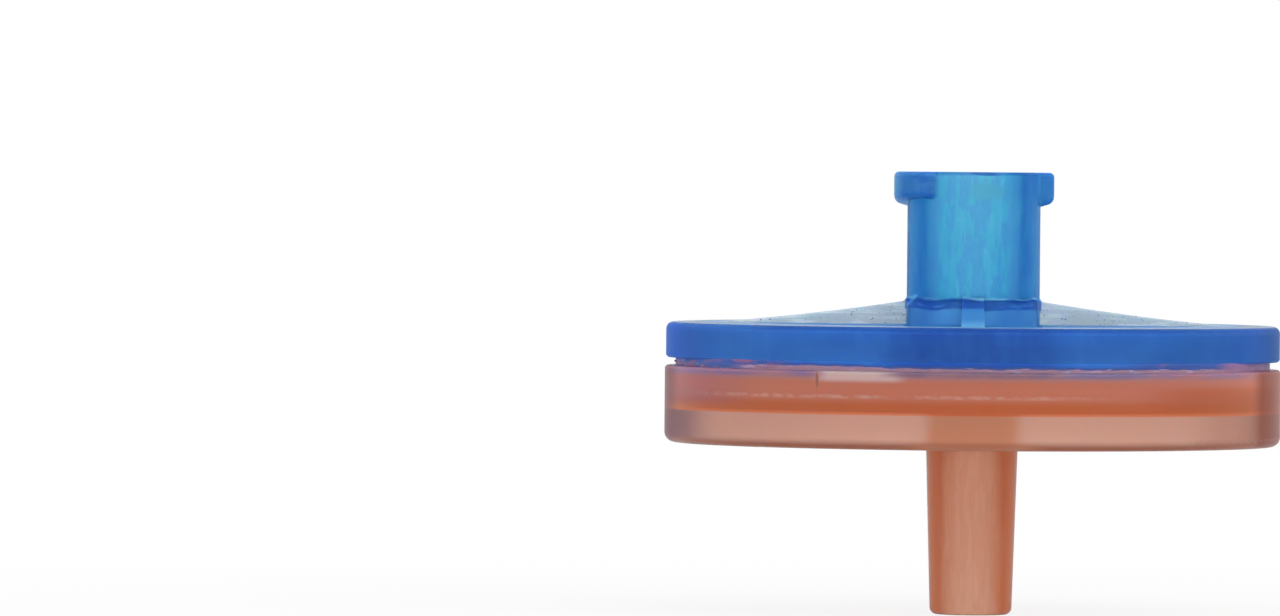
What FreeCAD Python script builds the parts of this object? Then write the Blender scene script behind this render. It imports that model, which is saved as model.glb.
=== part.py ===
"""Disc syringe filter, 30 mm across: inlet housing, membrane and outlet housing.

Both housings are polypropylene mouldings, welded together round the rim with the
membrane clamped between them. A syringe locks into the female cone on top, liquid
spreads over the grooved flow face, passes the membrane, and leaves through the
male cone below. The axis is +Z, the inlet is up, and the origin is the middle of
the outlet's tip. All sizes are millimetres.
"""
import FreeCAD, Part
import math
import os

# ------------------------------------------------------------------ driving sizes

LUER_TAPER = 0.06            # diameter change for each millimetre of cone

# outlet nozzle, a male slip cone
NOZZLE_TIP_DIA = 3.98
NOZZLE_LENGTH = 8.3          # from the tip to the skirt's lower edge
NOZZLE_TIP_ROUND = 0.35
NOZZLE_ROOT_ROUND = 0.5
LUMEN_DIA = 2.2
FUNNEL_DEPTH = 0.5           # where the lumen opens into the support face

# outlet housing
BODY_DIA = 30.0
BODY_CORNER_ROUND = 0.5
SKIRT_DEPTH = 1.75           # hollow under the support plate
SKIRT_WALL = 1.1             # at its lower edge
SKIRT_DRAFT_DEG = 3.0
SUPPORT_THICKNESS = 0.95     # from the hollow's roof to the membrane's seat
SUPPORT_PITCH = 1.5          # of its ring grooves, each half a pitch wide
SUPPORT_GROOVE_DEPTH = 0.3
SUPPORT_LANE_COUNT = 6
SUPPORT_LANE_WIDTH = 0.8
CUP_DEPTH = 0.8              # from the membrane's seat up to the weld shelf
LIP_HEIGHT = 0.23            # above the weld shelf
LIP_WALL = 0.5

# membrane
MEMBRANE_THICKNESS = 0.15
MEMBRANE_EDGE_GAP = 0.15     # between the membrane and the cup round it

# inlet housing, rim and plate
RIM_INSET = 0.05             # the inlet's rim is this much smaller in radius
RIM_THICKNESS = 1.72
RIM_TOP_ROUND = 0.36
RIM_GAP = 0.4                # open groove between the two rims
SPIGOT_CLEARANCE = 0.05      # between the spigot and the outlet's lip
WELD_WIDTH = 1.1             # flat ring where the housings are joined
CLAMP_CLEARANCE = 0.1        # between the clamp ring and the cup round it
CLAMP_WIDTH = 2.2            # ring that presses the membrane on its seat
PLATE_THICKNESS = 1.45
POCKET_WALL_RUN = 0.5        # slope of the pockets' outer wall, measured outwards
POCKET_CORNER_ROUND = 0.4
POCKET_FLOOR_ROUND = 0.2

# inlet housing, flow face
RIDGE_PITCH = 1.0
RIDGE_HEIGHT = 0.4
RIDGE_CLEARANCE = 0.2        # between the ridges and the membrane
RIDGE_BASE = 0.6
RIDGE_TIP = 0.35
LANE_WIDTH = 1.0             # radial lanes, and the arms of the crossed inlet
LANE_DEPTH = 0.3             # below the flow face, into the plate
WINDOW_INSET = 0.05          # of the crossed inlet's ends from the bore's wall

# inlet housing, hub, fins and lock lugs
HUB_DIA = 6.48
HUB_HEIGHT = 7.4             # above the rim
HUB_STEP = 0.1               # the hub is this much thinner just below the mould's joint
HUB_STEP_HEIGHT = 1.2        # of that joint above the rim
MOUTH_DIA = 4.3
MOUTH_CHAMFER = 0.1
WELL_DEPTH = 0.85            # straight end of the bore, under the cone
FIN_THICKNESS = 1.05         # along its top
FIN_HEIGHT = 1.1             # above the rim, at the hub
FIN_RUN_OUT = 1.4            # beyond the pockets' edge
FIN_SAG = 0.09               # dip of the fin's top under a straight line
FIN_ROOT_ROUND = 0.3
LUG_REACH = 0.66             # beyond the hub
LUG_WIDTH = 3.9
LUG_DEPTH = 1.6              # at its thick end
LUG_SLOPE_DEG = 6.0          # of the underside along the thread
LUG_FLANK_DEG = 15.0         # of the underside outwards from the hub
LUG_TURN_DEG = 20.0          # of the lugs from the fins
LUG_CORNER_ROUND = 0.5
LUG_TOP_ROUND = 0.24
LUG_UNDER_ROUND = 0.34

DRAFT_DEG = 1.5              # of the fins' sides and of the hub below the joint
EDGE_BREAK = 0.1             # small chamfer on the moulded outer edges
SINK = 0.05                  # how far a raised feature starts inside its plate

# ------------------------------------------------------------------ heights

SKIRT_EDGE_Z = NOZZLE_LENGTH
ROOF_Z = SKIRT_EDGE_Z + SKIRT_DEPTH
SEAT_Z = ROOF_Z + SUPPORT_THICKNESS
SHELF_Z = SEAT_Z + CUP_DEPTH
LIP_TOP_Z = SHELF_Z + LIP_HEIGHT
MEMBRANE_TOP_Z = SEAT_Z + MEMBRANE_THICKNESS
RIDGE_TIP_Z = MEMBRANE_TOP_Z + RIDGE_CLEARANCE
FLOW_FACE_Z = RIDGE_TIP_Z + RIDGE_HEIGHT
FLOOR_Z = FLOW_FACE_Z + PLATE_THICKNESS
RIM_LOW_Z = LIP_TOP_Z + RIM_GAP
RIM_TOP_Z = RIM_LOW_Z + RIM_THICKNESS
HUB_STEP_Z = RIM_TOP_Z + HUB_STEP_HEIGHT
HUB_TOP_Z = RIM_TOP_Z + HUB_HEIGHT

# ------------------------------------------------------------------ radii

BODY_R = BODY_DIA / 2
LIP_R = BODY_R - LIP_WALL
SPIGOT_R = LIP_R - SPIGOT_CLEARANCE
CUP_R = SPIGOT_R - WELD_WIDTH
CLAMP_R = CUP_R - CLAMP_CLEARANCE
MEMBRANE_R = CUP_R - MEMBRANE_EDGE_GAP
FLOW_R = CLAMP_R - CLAMP_WIDTH
RIM_R = BODY_R - RIM_INSET
SKIRT_R = BODY_R - SKIRT_WALL
NOZZLE_TIP_R = NOZZLE_TIP_DIA / 2
NOZZLE_ROOT_R = NOZZLE_TIP_R + ROOF_Z * LUER_TAPER / 2
LUMEN_R = LUMEN_DIA / 2
HUB_R = HUB_DIA / 2
MOUTH_R = MOUTH_DIA / 2
WELL_R = MOUTH_R - (HUB_TOP_Z - FLOOR_Z - WELL_DEPTH) * LUER_TAPER / 2
LUG_R = HUB_R + LUG_REACH

AXIS = FreeCAD.Vector(0, 0, 1)
CENTRE = FreeCAD.Vector(0, 0, 0)


# ------------------------------------------------------------------ shape helpers

def revolved(outline):
    """Solid made by turning a closed outline of (radius, height) points round the axis."""
    points = [FreeCAD.Vector(radius, 0, height) for radius, height in outline]
    face = Part.Face(Part.makePolygon(points + points[:1]))
    return face.revolve(CENTRE, AXIS, 360)


def disc(radius, low, high):
    """Upright cylinder on the axis between two heights."""
    return Part.makeCylinder(radius, high - low, FreeCAD.Vector(0, 0, low))


def turned(shape, degrees):
    """Copy of a shape turned round the axis."""
    copy = shape.copy()
    copy.rotate(CENTRE, AXIS, degrees)
    return copy


def slot(half_length, width, low, high):
    """Straight slot through the axis along X, with round ends."""
    half = width / 2
    straight = half_length - half
    corners = [FreeCAD.Vector(x, y, low) for x, y in (
        (-straight, -half), (straight, -half), (straight, half), (-straight, half))]
    edges = [
        Part.LineSegment(corners[0], corners[1]).toShape(),
        Part.Arc(corners[1], FreeCAD.Vector(half_length, 0, low), corners[2]).toShape(),
        Part.LineSegment(corners[2], corners[3]).toShape(),
        Part.Arc(corners[3], FreeCAD.Vector(-half_length, 0, low), corners[0]).toShape(),
    ]
    return Part.Face(Part.Wire(edges)).extrude(FreeCAD.Vector(0, 0, high - low))


def circle_edges(shape, radius, height):
    """Edges of a shape that are circles round the axis at one radius and height."""
    return [edge for edge in shape.Edges
            if isinstance(edge.Curve, Part.Circle)
            and abs(edge.Curve.Radius - radius) < 1e-5
            and abs(edge.Curve.Center.z - height) < 1e-5]


def rounded(shape, radius, *rings):
    """Shape with the circular edges at each (radius, height) rounded."""
    edges = [edge for ring in rings for edge in circle_edges(shape, *ring)]
    return shape.makeFillet(radius, edges)


def edge_broken(shape, *rings):
    """Shape with the circular edges at each (radius, height) slightly chamfered."""
    edges = [edge for ring in rings for edge in circle_edges(shape, *ring)]
    return shape.makeChamfer(EDGE_BREAK, edges)


def ring_radii(first, last, pitch):
    """Middle radii of concentric rings, from first up to last."""
    count = int((last - first) / pitch + 1e-6) + 1
    return [first + index * pitch for index in range(count)]


def draft_spread(height):
    """How much wider a drafted wall is this far below its narrow end."""
    return height * math.tan(math.radians(DRAFT_DEG))


# ------------------------------------------------------------------ outlet housing

def outlet_housing():
    """Cup, support plate, hollow skirt and male cone in one moulding."""
    skirt_roof_r = SKIRT_R - SKIRT_DEPTH * math.tan(math.radians(SKIRT_DRAFT_DEG))
    shell = revolved([
        (0, 0), (NOZZLE_TIP_R, 0), (NOZZLE_ROOT_R, ROOF_Z),
        (skirt_roof_r, ROOF_Z), (SKIRT_R, SKIRT_EDGE_Z), (BODY_R, SKIRT_EDGE_Z),
        (BODY_R, LIP_TOP_Z), (LIP_R, LIP_TOP_Z), (LIP_R, SHELF_Z),
        (CUP_R, SHELF_Z), (CUP_R, SEAT_Z), (0, SEAT_Z)])
    shell = rounded(shell, NOZZLE_TIP_ROUND, (NOZZLE_TIP_R, 0))
    shell = rounded(shell, NOZZLE_ROOT_ROUND, (NOZZLE_ROOT_R, ROOF_Z))
    shell = rounded(shell, BODY_CORNER_ROUND, (BODY_R, SKIRT_EDGE_Z))
    shell = edge_broken(shell, (BODY_R, LIP_TOP_Z), (SKIRT_R, SKIRT_EDGE_Z))
    return shell.cut(support_channels()).cut(outlet_lumen())


def support_channels():
    """Ring grooves and radial lanes that drain the membrane's seat, as one tool."""
    low = SEAT_Z - SUPPORT_GROOVE_DEPTH
    high = SEAT_Z + SINK
    quarter = SUPPORT_PITCH / 4
    first = LUMEN_R + FUNNEL_DEPTH + 2 * quarter
    radii = ring_radii(first, FLOW_R - 2 * quarter, SUPPORT_PITCH)
    grooves = [disc(radius + quarter, low, high).cut(disc(radius - quarter, low, high))
               for radius in radii]
    lane = slot(radii[-1] + quarter, SUPPORT_LANE_WIDTH, low, high)
    step = 360 / SUPPORT_LANE_COUNT
    lanes = [turned(lane, step * (index + 0.5)) for index in range(SUPPORT_LANE_COUNT // 2)]
    return grooves[0].multiFuse(grooves[1:] + lanes)


def outlet_lumen():
    """Straight lumen with a funnel where it leaves the support face."""
    funnel_low = SEAT_Z - SUPPORT_GROOVE_DEPTH - FUNNEL_DEPTH
    funnel_r = LUMEN_R + FUNNEL_DEPTH
    return revolved([
        (0, -1), (LUMEN_R, -1), (LUMEN_R, funnel_low),
        (funnel_r, funnel_low + FUNNEL_DEPTH), (funnel_r, SEAT_Z + SINK), (0, SEAT_Z + SINK)])


# ------------------------------------------------------------------ membrane

def membrane():
    """Flat filter disc, clamped at its edge and lying on the support face."""
    return disc(MEMBRANE_R, SEAT_Z, MEMBRANE_TOP_Z)


# ------------------------------------------------------------------ inlet housing

def inlet_housing():
    """Hub with lock lugs, fins, plate, rim, weld spigot and clamp ring in one moulding."""
    body = revolved([
        (0, FLOW_FACE_Z), (FLOW_R, FLOW_FACE_Z), (FLOW_R, MEMBRANE_TOP_Z),
        (CLAMP_R, MEMBRANE_TOP_Z), (CLAMP_R, SHELF_Z), (SPIGOT_R, SHELF_Z),
        (SPIGOT_R, RIM_LOW_Z), (RIM_R, RIM_LOW_Z), (RIM_R, RIM_TOP_Z),
        (hub_base_radius(RIM_TOP_Z), RIM_TOP_Z), (hub_base_radius(HUB_STEP_Z), HUB_STEP_Z),
        (HUB_R, HUB_STEP_Z), (HUB_R, HUB_TOP_Z), (0, HUB_TOP_Z)])
    body = rounded(body, RIM_TOP_ROUND, (RIM_R, RIM_TOP_Z))
    body = edge_broken(body, (RIM_R, RIM_LOW_Z), (HUB_R, HUB_TOP_Z))
    fin = fin_pair()
    body = body.multiFuse([fin, turned(fin, 90)])
    body = body.cut(plate_pockets())
    body = body.multiFuse([turned(lock_lug(), LUG_TURN_DEG), turned(lock_lug(), LUG_TURN_DEG + 180)])
    body = body.fuse(flow_ridges())
    return body.cut(inlet_bore()).cut(crossed_lanes())


def hub_base_radius(height):
    """Outer radius of the hub at a height below the mould's joint, where it has draft."""
    return HUB_R - HUB_STEP + draft_spread(HUB_STEP_Z - height)


def fin_bar(low, high):
    """Straight bar through the axis along X, of the fins' thickness and draft."""
    low_half = FIN_THICKNESS / 2 + draft_spread(RIM_TOP_Z + FIN_HEIGHT - low)
    high_half = FIN_THICKNESS / 2 + draft_spread(RIM_TOP_Z + FIN_HEIGHT - high)
    points = [FreeCAD.Vector(-BODY_R, y, z) for y, z in (
        (-low_half, low), (low_half, low), (high_half, high), (-high_half, high))]
    face = Part.Face(Part.makePolygon(points + points[:1]))
    return face.extrude(FreeCAD.Vector(BODY_DIA, 0, 0))


def fin_pair():
    """Two opposite fins along X, with slightly hollow tops that fade into the rim."""
    low = FLOOR_Z - SINK
    end = FLOW_R + FIN_RUN_OUT
    hub_z = RIM_TOP_Z + FIN_HEIGHT
    round_end_x = HUB_R + FIN_ROOT_ROUND
    half_turn = FIN_ROOT_ROUND * (1 - math.sqrt(0.5))
    slope = FIN_HEIGHT / (end - HUB_R)
    start = FreeCAD.Vector(round_end_x, 0, hub_z - FIN_ROOT_ROUND * slope)
    middle = FreeCAD.Vector((round_end_x + end) / 2, 0, (start.z + RIM_TOP_Z) / 2 - FIN_SAG)
    finish = FreeCAD.Vector(end, 0, RIM_TOP_Z)
    hub_point = FreeCAD.Vector(HUB_R, 0, start.z + FIN_ROOT_ROUND)
    turn = FreeCAD.Vector(HUB_R + half_turn, 0, start.z + half_turn)
    inner_top = FreeCAD.Vector(0, 0, hub_point.z)
    inner_low = FreeCAD.Vector(0, 0, low)
    outer_low = FreeCAD.Vector(end, 0, low)
    edges = [
        Part.LineSegment(inner_low, outer_low).toShape(),
        Part.LineSegment(outer_low, finish).toShape(),
        Part.Arc(finish, middle, start).toShape(),
        Part.Arc(start, turn, hub_point).toShape(),
        Part.LineSegment(hub_point, inner_top).toShape(),
        Part.LineSegment(inner_top, inner_low).toShape(),
    ]
    side = Part.Face(Part.Wire(edges))
    side.translate(FreeCAD.Vector(0, -FIN_THICKNESS, 0))
    ramp = side.extrude(FreeCAD.Vector(0, 2 * FIN_THICKNESS, 0))
    fin = ramp.common(fin_bar(low, hub_point.z + 1))
    return fin.fuse(turned(fin, 180))


def plate_pockets():
    """Four quarter-round pockets between the fins, as one cutting tool."""
    top = RIM_TOP_Z + 1
    ring = revolved([
        (hub_base_radius(FLOOR_Z), FLOOR_Z), (FLOW_R - POCKET_WALL_RUN, FLOOR_Z),
        (FLOW_R, RIM_TOP_Z), (FLOW_R, top), (hub_base_radius(top), top)])
    bar = fin_bar(FLOOR_Z - 1, top + 1)
    quarters = ring.cut(bar.fuse(turned(bar, 90))).Solids
    return Part.makeCompound([soft_pocket(quarter) for quarter in quarters])


def soft_pocket(quarter):
    """One pocket with its outer corners and its floor's edge rounded."""
    corner = [edge for edge in quarter.Edges
              if edge.BoundBox.ZLength > 0.1
              and edge.BoundBox.ZMin < RIM_TOP_Z
              and math.hypot(edge.CenterOfMass.x, edge.CenterOfMass.y) > FLOW_R - POCKET_WALL_RUN]
    quarter = quarter.makeFillet(POCKET_CORNER_ROUND, corner)
    floor = [edge for edge in quarter.Edges
             if edge.BoundBox.ZMax < FLOOR_Z + 1e-4]
    return quarter.makeFillet(POCKET_FLOOR_ROUND, floor)


def lock_lug():
    """One lock lug on the +X side. Its underside is a thread's flank, taken as a doubly sloped plane."""
    low = HUB_TOP_Z - LUG_DEPTH
    root = low - HUB_R * math.tan(math.radians(LUG_FLANK_DEG))
    block = Part.makeBox(LUG_R, LUG_WIDTH, HUB_TOP_Z - root, FreeCAD.Vector(0, -LUG_WIDTH / 2, root))
    lug = block.common(disc(LUG_R, root, HUB_TOP_Z))
    hinge = FreeCAD.Vector(HUB_R, -LUG_WIDTH / 2, low)
    wedge = Part.makeBox(4 * LUG_R, 4 * LUG_WIDTH, 2 * LUG_DEPTH,
                         FreeCAD.Vector(-2 * LUG_R, -2 * LUG_WIDTH, low - 2 * LUG_DEPTH))
    wedge.rotate(hinge, FreeCAD.Vector(0, 1, 0), -LUG_FLANK_DEG)
    wedge.rotate(hinge, FreeCAD.Vector(1, 0, 0), LUG_SLOPE_DEG)
    lug = lug.cut(wedge)
    corners = [edge for edge in lug.Edges
               if edge.BoundBox.XLength < 1e-4 and edge.BoundBox.YLength < 1e-4
               and edge.BoundBox.XMin > LUG_R / 2]
    lug = lug.makeFillet(LUG_CORNER_ROUND, corners)
    outer = [edge for edge in lug.Edges
             if edge.BoundBox.XMax > LUG_R / 2
             and edge.BoundBox.XLength + edge.BoundBox.YLength > 1e-4]
    under = [edge for edge in outer if edge.BoundBox.ZMax < HUB_TOP_Z - LUG_TOP_ROUND]
    lug = lug.makeFillet(LUG_UNDER_ROUND, under)
    top = [edge for edge in lug.Edges
           if edge.BoundBox.ZMin > HUB_TOP_Z - 1e-4 and edge.BoundBox.XMax > LUG_R / 2]
    return lug.makeFillet(LUG_TOP_ROUND, top)


def flow_ridges():
    """Concentric ridges on the flow face, broken where the lanes pass."""
    low_half = RIDGE_BASE / 2
    tip_half = RIDGE_TIP / 2
    root_z = FLOW_FACE_Z + SINK
    ridges = [revolved([(radius - low_half, root_z), (radius - tip_half, RIDGE_TIP_Z),
                        (radius + tip_half, RIDGE_TIP_Z), (radius + low_half, root_z)])
              for radius in ring_radii(WELL_R + RIDGE_PITCH, FLOW_R - RIDGE_PITCH / 2, RIDGE_PITCH)]
    lane = slot(BODY_R, LANE_WIDTH, RIDGE_TIP_Z - 1, root_z + 1)
    return Part.makeCompound(ridges).cut(turned(lane, 45)).cut(turned(lane, -45))


def inlet_bore():
    """Female cone with a chamfered mouth, ending in a straight well."""
    cone_low = FLOOR_Z + WELL_DEPTH
    mouth_r = MOUTH_R + MOUTH_CHAMFER
    return revolved([
        (0, FLOOR_Z), (WELL_R, FLOOR_Z), (WELL_R, cone_low),
        (MOUTH_R, HUB_TOP_Z - MOUTH_CHAMFER), (mouth_r, HUB_TOP_Z), (mouth_r, HUB_TOP_Z + 1),
        (0, HUB_TOP_Z + 1)])


def crossed_lanes():
    """Two crossed lanes under the plate that open into the bore as an X."""
    lane_top = FLOW_FACE_Z + LANE_DEPTH
    lane = slot(FLOW_R - RIDGE_PITCH / 2, LANE_WIDTH, FLOW_FACE_Z - SINK, lane_top)
    window = slot(WELL_R - WINDOW_INSET, LANE_WIDTH, FLOW_FACE_Z - SINK, FLOOR_Z + SINK)
    tools = [turned(shape, angle) for shape in (lane, window) for angle in (45, -45)]
    return tools[0].multiFuse(tools[1:])


# ------------------------------------------------------------------ files

NODES = {
    "inlet_housing": inlet_housing,
    "membrane": membrane,
    "outlet_housing": outlet_housing,
}

os.makedirs("parts", exist_ok=True)
for name, make in NODES.items():
    solid = make()
    box = solid.BoundBox
    print(f"{name}: {len(solid.Solids)} solid, valid {solid.isValid()}, volume {solid.Volume:.1f}, "
          f"z {box.ZMin:.2f} to {box.ZMax:.2f}, width {box.XLength:.2f}")
    solid.exportStep(f"parts/{name}.step")
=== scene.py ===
# %% [markdown]
# A disc syringe filter, finished for a studio picture.
# The real thing is two polypropylene mouldings with a white membrane clamped between them.
# The blue half carries the lock hub, and the orange half the slip nozzle.
# Their shapes come packed from the CAD model, so this lesson is mostly about one material:
# a dyed plastic that is clear where it is thin, and milky and deep in colour where it is thick.

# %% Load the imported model
import bpy
import math
import numpy as np
from mathutils import Matrix, Vector


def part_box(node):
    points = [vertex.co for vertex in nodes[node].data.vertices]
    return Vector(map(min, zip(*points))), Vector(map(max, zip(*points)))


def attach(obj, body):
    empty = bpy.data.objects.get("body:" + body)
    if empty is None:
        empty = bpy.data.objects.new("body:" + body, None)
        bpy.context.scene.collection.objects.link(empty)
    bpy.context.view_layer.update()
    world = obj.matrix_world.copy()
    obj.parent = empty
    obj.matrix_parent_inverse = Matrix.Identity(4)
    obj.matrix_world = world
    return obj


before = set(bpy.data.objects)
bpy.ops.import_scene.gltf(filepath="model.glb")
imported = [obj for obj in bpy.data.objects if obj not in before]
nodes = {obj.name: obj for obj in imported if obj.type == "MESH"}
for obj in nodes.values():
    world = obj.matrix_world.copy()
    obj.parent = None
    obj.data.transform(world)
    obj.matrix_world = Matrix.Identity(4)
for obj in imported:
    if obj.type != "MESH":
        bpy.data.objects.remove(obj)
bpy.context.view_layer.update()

# %% [markdown]
# The camera comes first, so that every later step can be looked at in the final view.
# It stands half a metre away with a long lens, a little above the hub. That keeps the
# rims nearly straight and shows only a thin line of their top faces.
# The filter stands in the right half of the frame, with a slight lean of the camera.
# Blender works in metres and this lesson in millimetres, so MM turns one into the other.

# %% Camera
MM = 0.001
CAMERA_AT = (-0.04, -550, 21.28)
CAMERA_AIM = (-16.24, 0.0, 14.78)
LENS_MM = 317.3
SENSOR_MM = 36.0
LEAN_DEG = 0.5
NEAREST, FURTHEST = 10, 10000

lens = bpy.data.cameras.new("camera")
lens.sensor_width = SENSOR_MM
lens.lens = LENS_MM
lens.clip_start = NEAREST * MM
lens.clip_end = FURTHEST * MM
camera = bpy.data.objects.new("camera", lens)
bpy.context.collection.objects.link(camera)
camera.location = Vector(CAMERA_AT) * MM
sight = Vector(CAMERA_AIM) - Vector(CAMERA_AT)
lean = Matrix.Rotation(math.radians(LEAN_DEG), 3, "Z")
camera.rotation_euler = (sight.to_track_quat("-Z", "Y").to_matrix() @ lean).to_euler()
bpy.context.scene.camera = camera
bpy.context.scene.view_settings.view_transform = "Standard"
print("camera", round(sight.length), "mm away, lens", LENS_MM, "mm")

# %% [markdown]
# Each zone of the mouldings has its own look, so the materials need to know where the
# zones begin. The heights come from the boxes of the three pieces and from a few
# thicknesses of the mouldings. From here on every length is in millimetres.

# %% Heights and radii of the filter
HUB_HEIGHT = 7.4
JOINT_HEIGHT = 1.2
RIM_THICKNESS = 1.72
SUPPORT_THICKNESS = 0.95
SKIRT_DEPTH = 1.75
HUB_R = 3.24
BORE_R = 2.3
WELL_R = 1.925
LUMEN_R = 1.2
NOZZLE_ROOT_R = 2.6
FLOW_R = 11.05
RIDGE_PITCH = 1.0
FIN_HALF = 0.6
FIN_END_R = FLOW_R + 1.6

hub_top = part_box("inlet_housing")[1][2] / MM
body_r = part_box("outlet_housing")[1][0] / MM
lip_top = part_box("outlet_housing")[1][2] / MM
membrane_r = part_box("membrane")[1][0] / MM
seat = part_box("membrane")[0][2] / MM
rim_top = hub_top - HUB_HEIGHT
rim_low = rim_top - RIM_THICKNESS
joint = rim_top + JOINT_HEIGHT
roof = seat - SUPPORT_THICKNESS
skirt_edge = roof - SKIRT_DEPTH
print("heights in mm:", {name: round(value, 2) for name, value in dict(
    skirt_edge=skirt_edge, roof=roof, seat=seat, lip_top=lip_top, rim_low=rim_low,
    rim_top=rim_top, joint=joint, hub_top=hub_top).items()})

# %% [markdown]
# A material is a tree of nodes. One helper turns a written colour into the linear numbers
# that a shader wants, and one adds a node with its settings and links. The other three
# are what the coats of colour are made of: arithmetic on masks, a soft band that is 1
# between two values and 0 outside them, and one colour laid over another by a mask.

# %% Colour, node, arithmetic, band and mix
def colour(text):
    """An sRGB hex colour as four linear numbers."""
    parts = [int(text[i:i + 2], 16) / 255 for i in (1, 3, 5)]
    return [p / 12.92 if p <= 0.04045 else ((p + 0.055) / 1.055) ** 2.4 for p in parts] + [1.0]


def add(tree, kind, inputs=None, **settings):
    """Adds one node with its settings. inputs maps a socket to a value or to an output."""
    node = tree.nodes.new(kind)
    for key, value in settings.items():
        setattr(node, key, value)
    for key, value in (inputs or {}).items():
        if isinstance(value, bpy.types.NodeSocket):
            tree.links.new(value, node.inputs[key])
        else:
            node.inputs[key].default_value = value
    return node


def sums(tree, operation, *values):
    """Carries one Math operation along a row of values and outputs."""
    result = values[0]
    for value in values[1:]:
        result = add(tree, "ShaderNodeMath", {0: result, 1: value}, operation=operation).outputs[0]
    return result


def band(tree, value, low, high, soft):
    """1 where low < value < high, falling to 0 over a width of soft at either end."""
    slopes = [add(tree, "ShaderNodeMapRange", {
        "Value": value, "From Min": end - inwards * soft / 2, "From Max": end + inwards * soft / 2},
        interpolation_type="SMOOTHSTEP").outputs[0] for end, inwards in ((low, 1), (high, -1))]
    return sums(tree, "MULTIPLY", *slopes)


def painted(tree, under, over, mask):
    """The colour or number under, with over laid on it where mask is 1."""
    if isinstance(over, (int, float)):
        return add(tree, "ShaderNodeMix", {0: mask, 2: under, 3: over}, data_type="FLOAT").outputs[0]
    return add(tree, "ShaderNodeMix", {0: mask, 6: under, 7: over}, data_type="RGBA").outputs[2]


print("middle grey in linear light:", round(colour("#808080")[0], 3))

# %% [markdown]
# Patterns follow the place of a point on the part, never the place of the camera. Noise
# whose grain is stretched one way looks like plastic that was drawn along the mould,
# and noise cut off at a level gives patches. A single moulding mark, or a small painted
# highlight, is a leaning ellipse.

# %% Places, grain, patches and marks
MARK_FADES_FROM, MARK_FADES_TO = 0.6, 1.2


def places(tree):
    """Where a point is, in mm, and from that its x, y, height and distance from the axis."""
    metres = add(tree, "ShaderNodeTexCoord").outputs["Object"]
    where = add(tree, "ShaderNodeVectorMath", {0: metres, "Scale": 1 / MM}, operation="SCALE").outputs[0]
    split = add(tree, "ShaderNodeSeparateXYZ", {0: where})
    flat = add(tree, "ShaderNodeVectorMath", {0: where, 1: (1.0, 1.0, 0.0)}, operation="MULTIPLY").outputs[0]
    radius = add(tree, "ShaderNodeVectorMath", {0: flat}, operation="LENGTH").outputs["Value"]
    return where, split.outputs["X"], split.outputs["Y"], split.outputs["Z"], radius


def speckle(tree, where, stretch, detail=2.0):
    """Noise whose grain is stretched: stretch gives the grain's size in mm along x, y and z."""
    scaled = add(tree, "ShaderNodeVectorMath", {0: where, 1: tuple(1 / s for s in stretch)},
                 operation="MULTIPLY").outputs[0]
    return add(tree, "ShaderNodeTexNoise", {"Vector": scaled, "Scale": 1.0, "Detail": detail}).outputs[0]


def patches(tree, noise, least, soft):
    """1 where a noise is above the least that shows, with edges that are soft to either side."""
    return add(tree, "ShaderNodeMapRange", {
        "Value": noise, "From Min": least - soft, "From Max": least + soft},
        interpolation_type="SMOOTHSTEP").outputs[0]


def mark(tree, where, x, z, half_width, half_height, tilt_deg):
    """1 inside a leaning ellipse on the front of the part: a small moulding mark or painted highlight."""
    turned = add(tree, "ShaderNodeMapping", {
        "Vector": where, "Location": (x, 0.0, z), "Rotation": (0.0, math.radians(-tilt_deg), 0.0),
        "Scale": (half_width, 1.0, half_height)}, vector_type="TEXTURE").outputs[0]
    flat = add(tree, "ShaderNodeVectorMath", {0: turned, 1: (1.0, 0.0, 1.0)}, operation="MULTIPLY").outputs[0]
    reach = add(tree, "ShaderNodeVectorMath", {0: flat}, operation="LENGTH").outputs["Value"]
    inside = add(tree, "ShaderNodeMapRange", {
        "Value": reach, "From Min": MARK_FADES_TO, "From Max": MARK_FADES_FROM},
        interpolation_type="SMOOTHSTEP").outputs[0]
    depth = add(tree, "ShaderNodeSeparateXYZ", {0: where}).outputs["Y"]
    return sums(tree, "MULTIPLY", inside, sums(tree, "LESS_THAN", depth, 0.0))


print("a mark fades from", MARK_FADES_FROM, "to", MARK_FADES_TO, "times its half size")

# %% [markdown]
# Some coats are painted light and shade: shade, shadow and highlights laid as colour.
# A moulding isn't one colour. It is deep where it is thick, pale where it is worn, and
# mixed where it was welded. Painting it is like glazing a pot: coat after coat, each
# only where its masks let it through. A coat has a tone and a share of milk, because
# thick plastic hides what lies behind it and thin plastic doesn't.
#
# In all the cells that follow, a stretch of the width is written as from, to and how
# soft its ends are, in mm. A pattern is written as the size of its grain in mm along x,
# y and z, its detail, the least noise that shows, and how soft its edges are. A sway is
# the size of its grain and how far it moves a border, in mm.

# %% Coats of colour
PAST = 1.0      # how far a mask runs past an edge that it doesn't stop at
SIDE = 16.0     # x beyond the rim, left or right
HARD = 0.02     # widths in mm over which a mask fades at its ends
CRISP = 0.1
SOFT = 0.3


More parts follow.
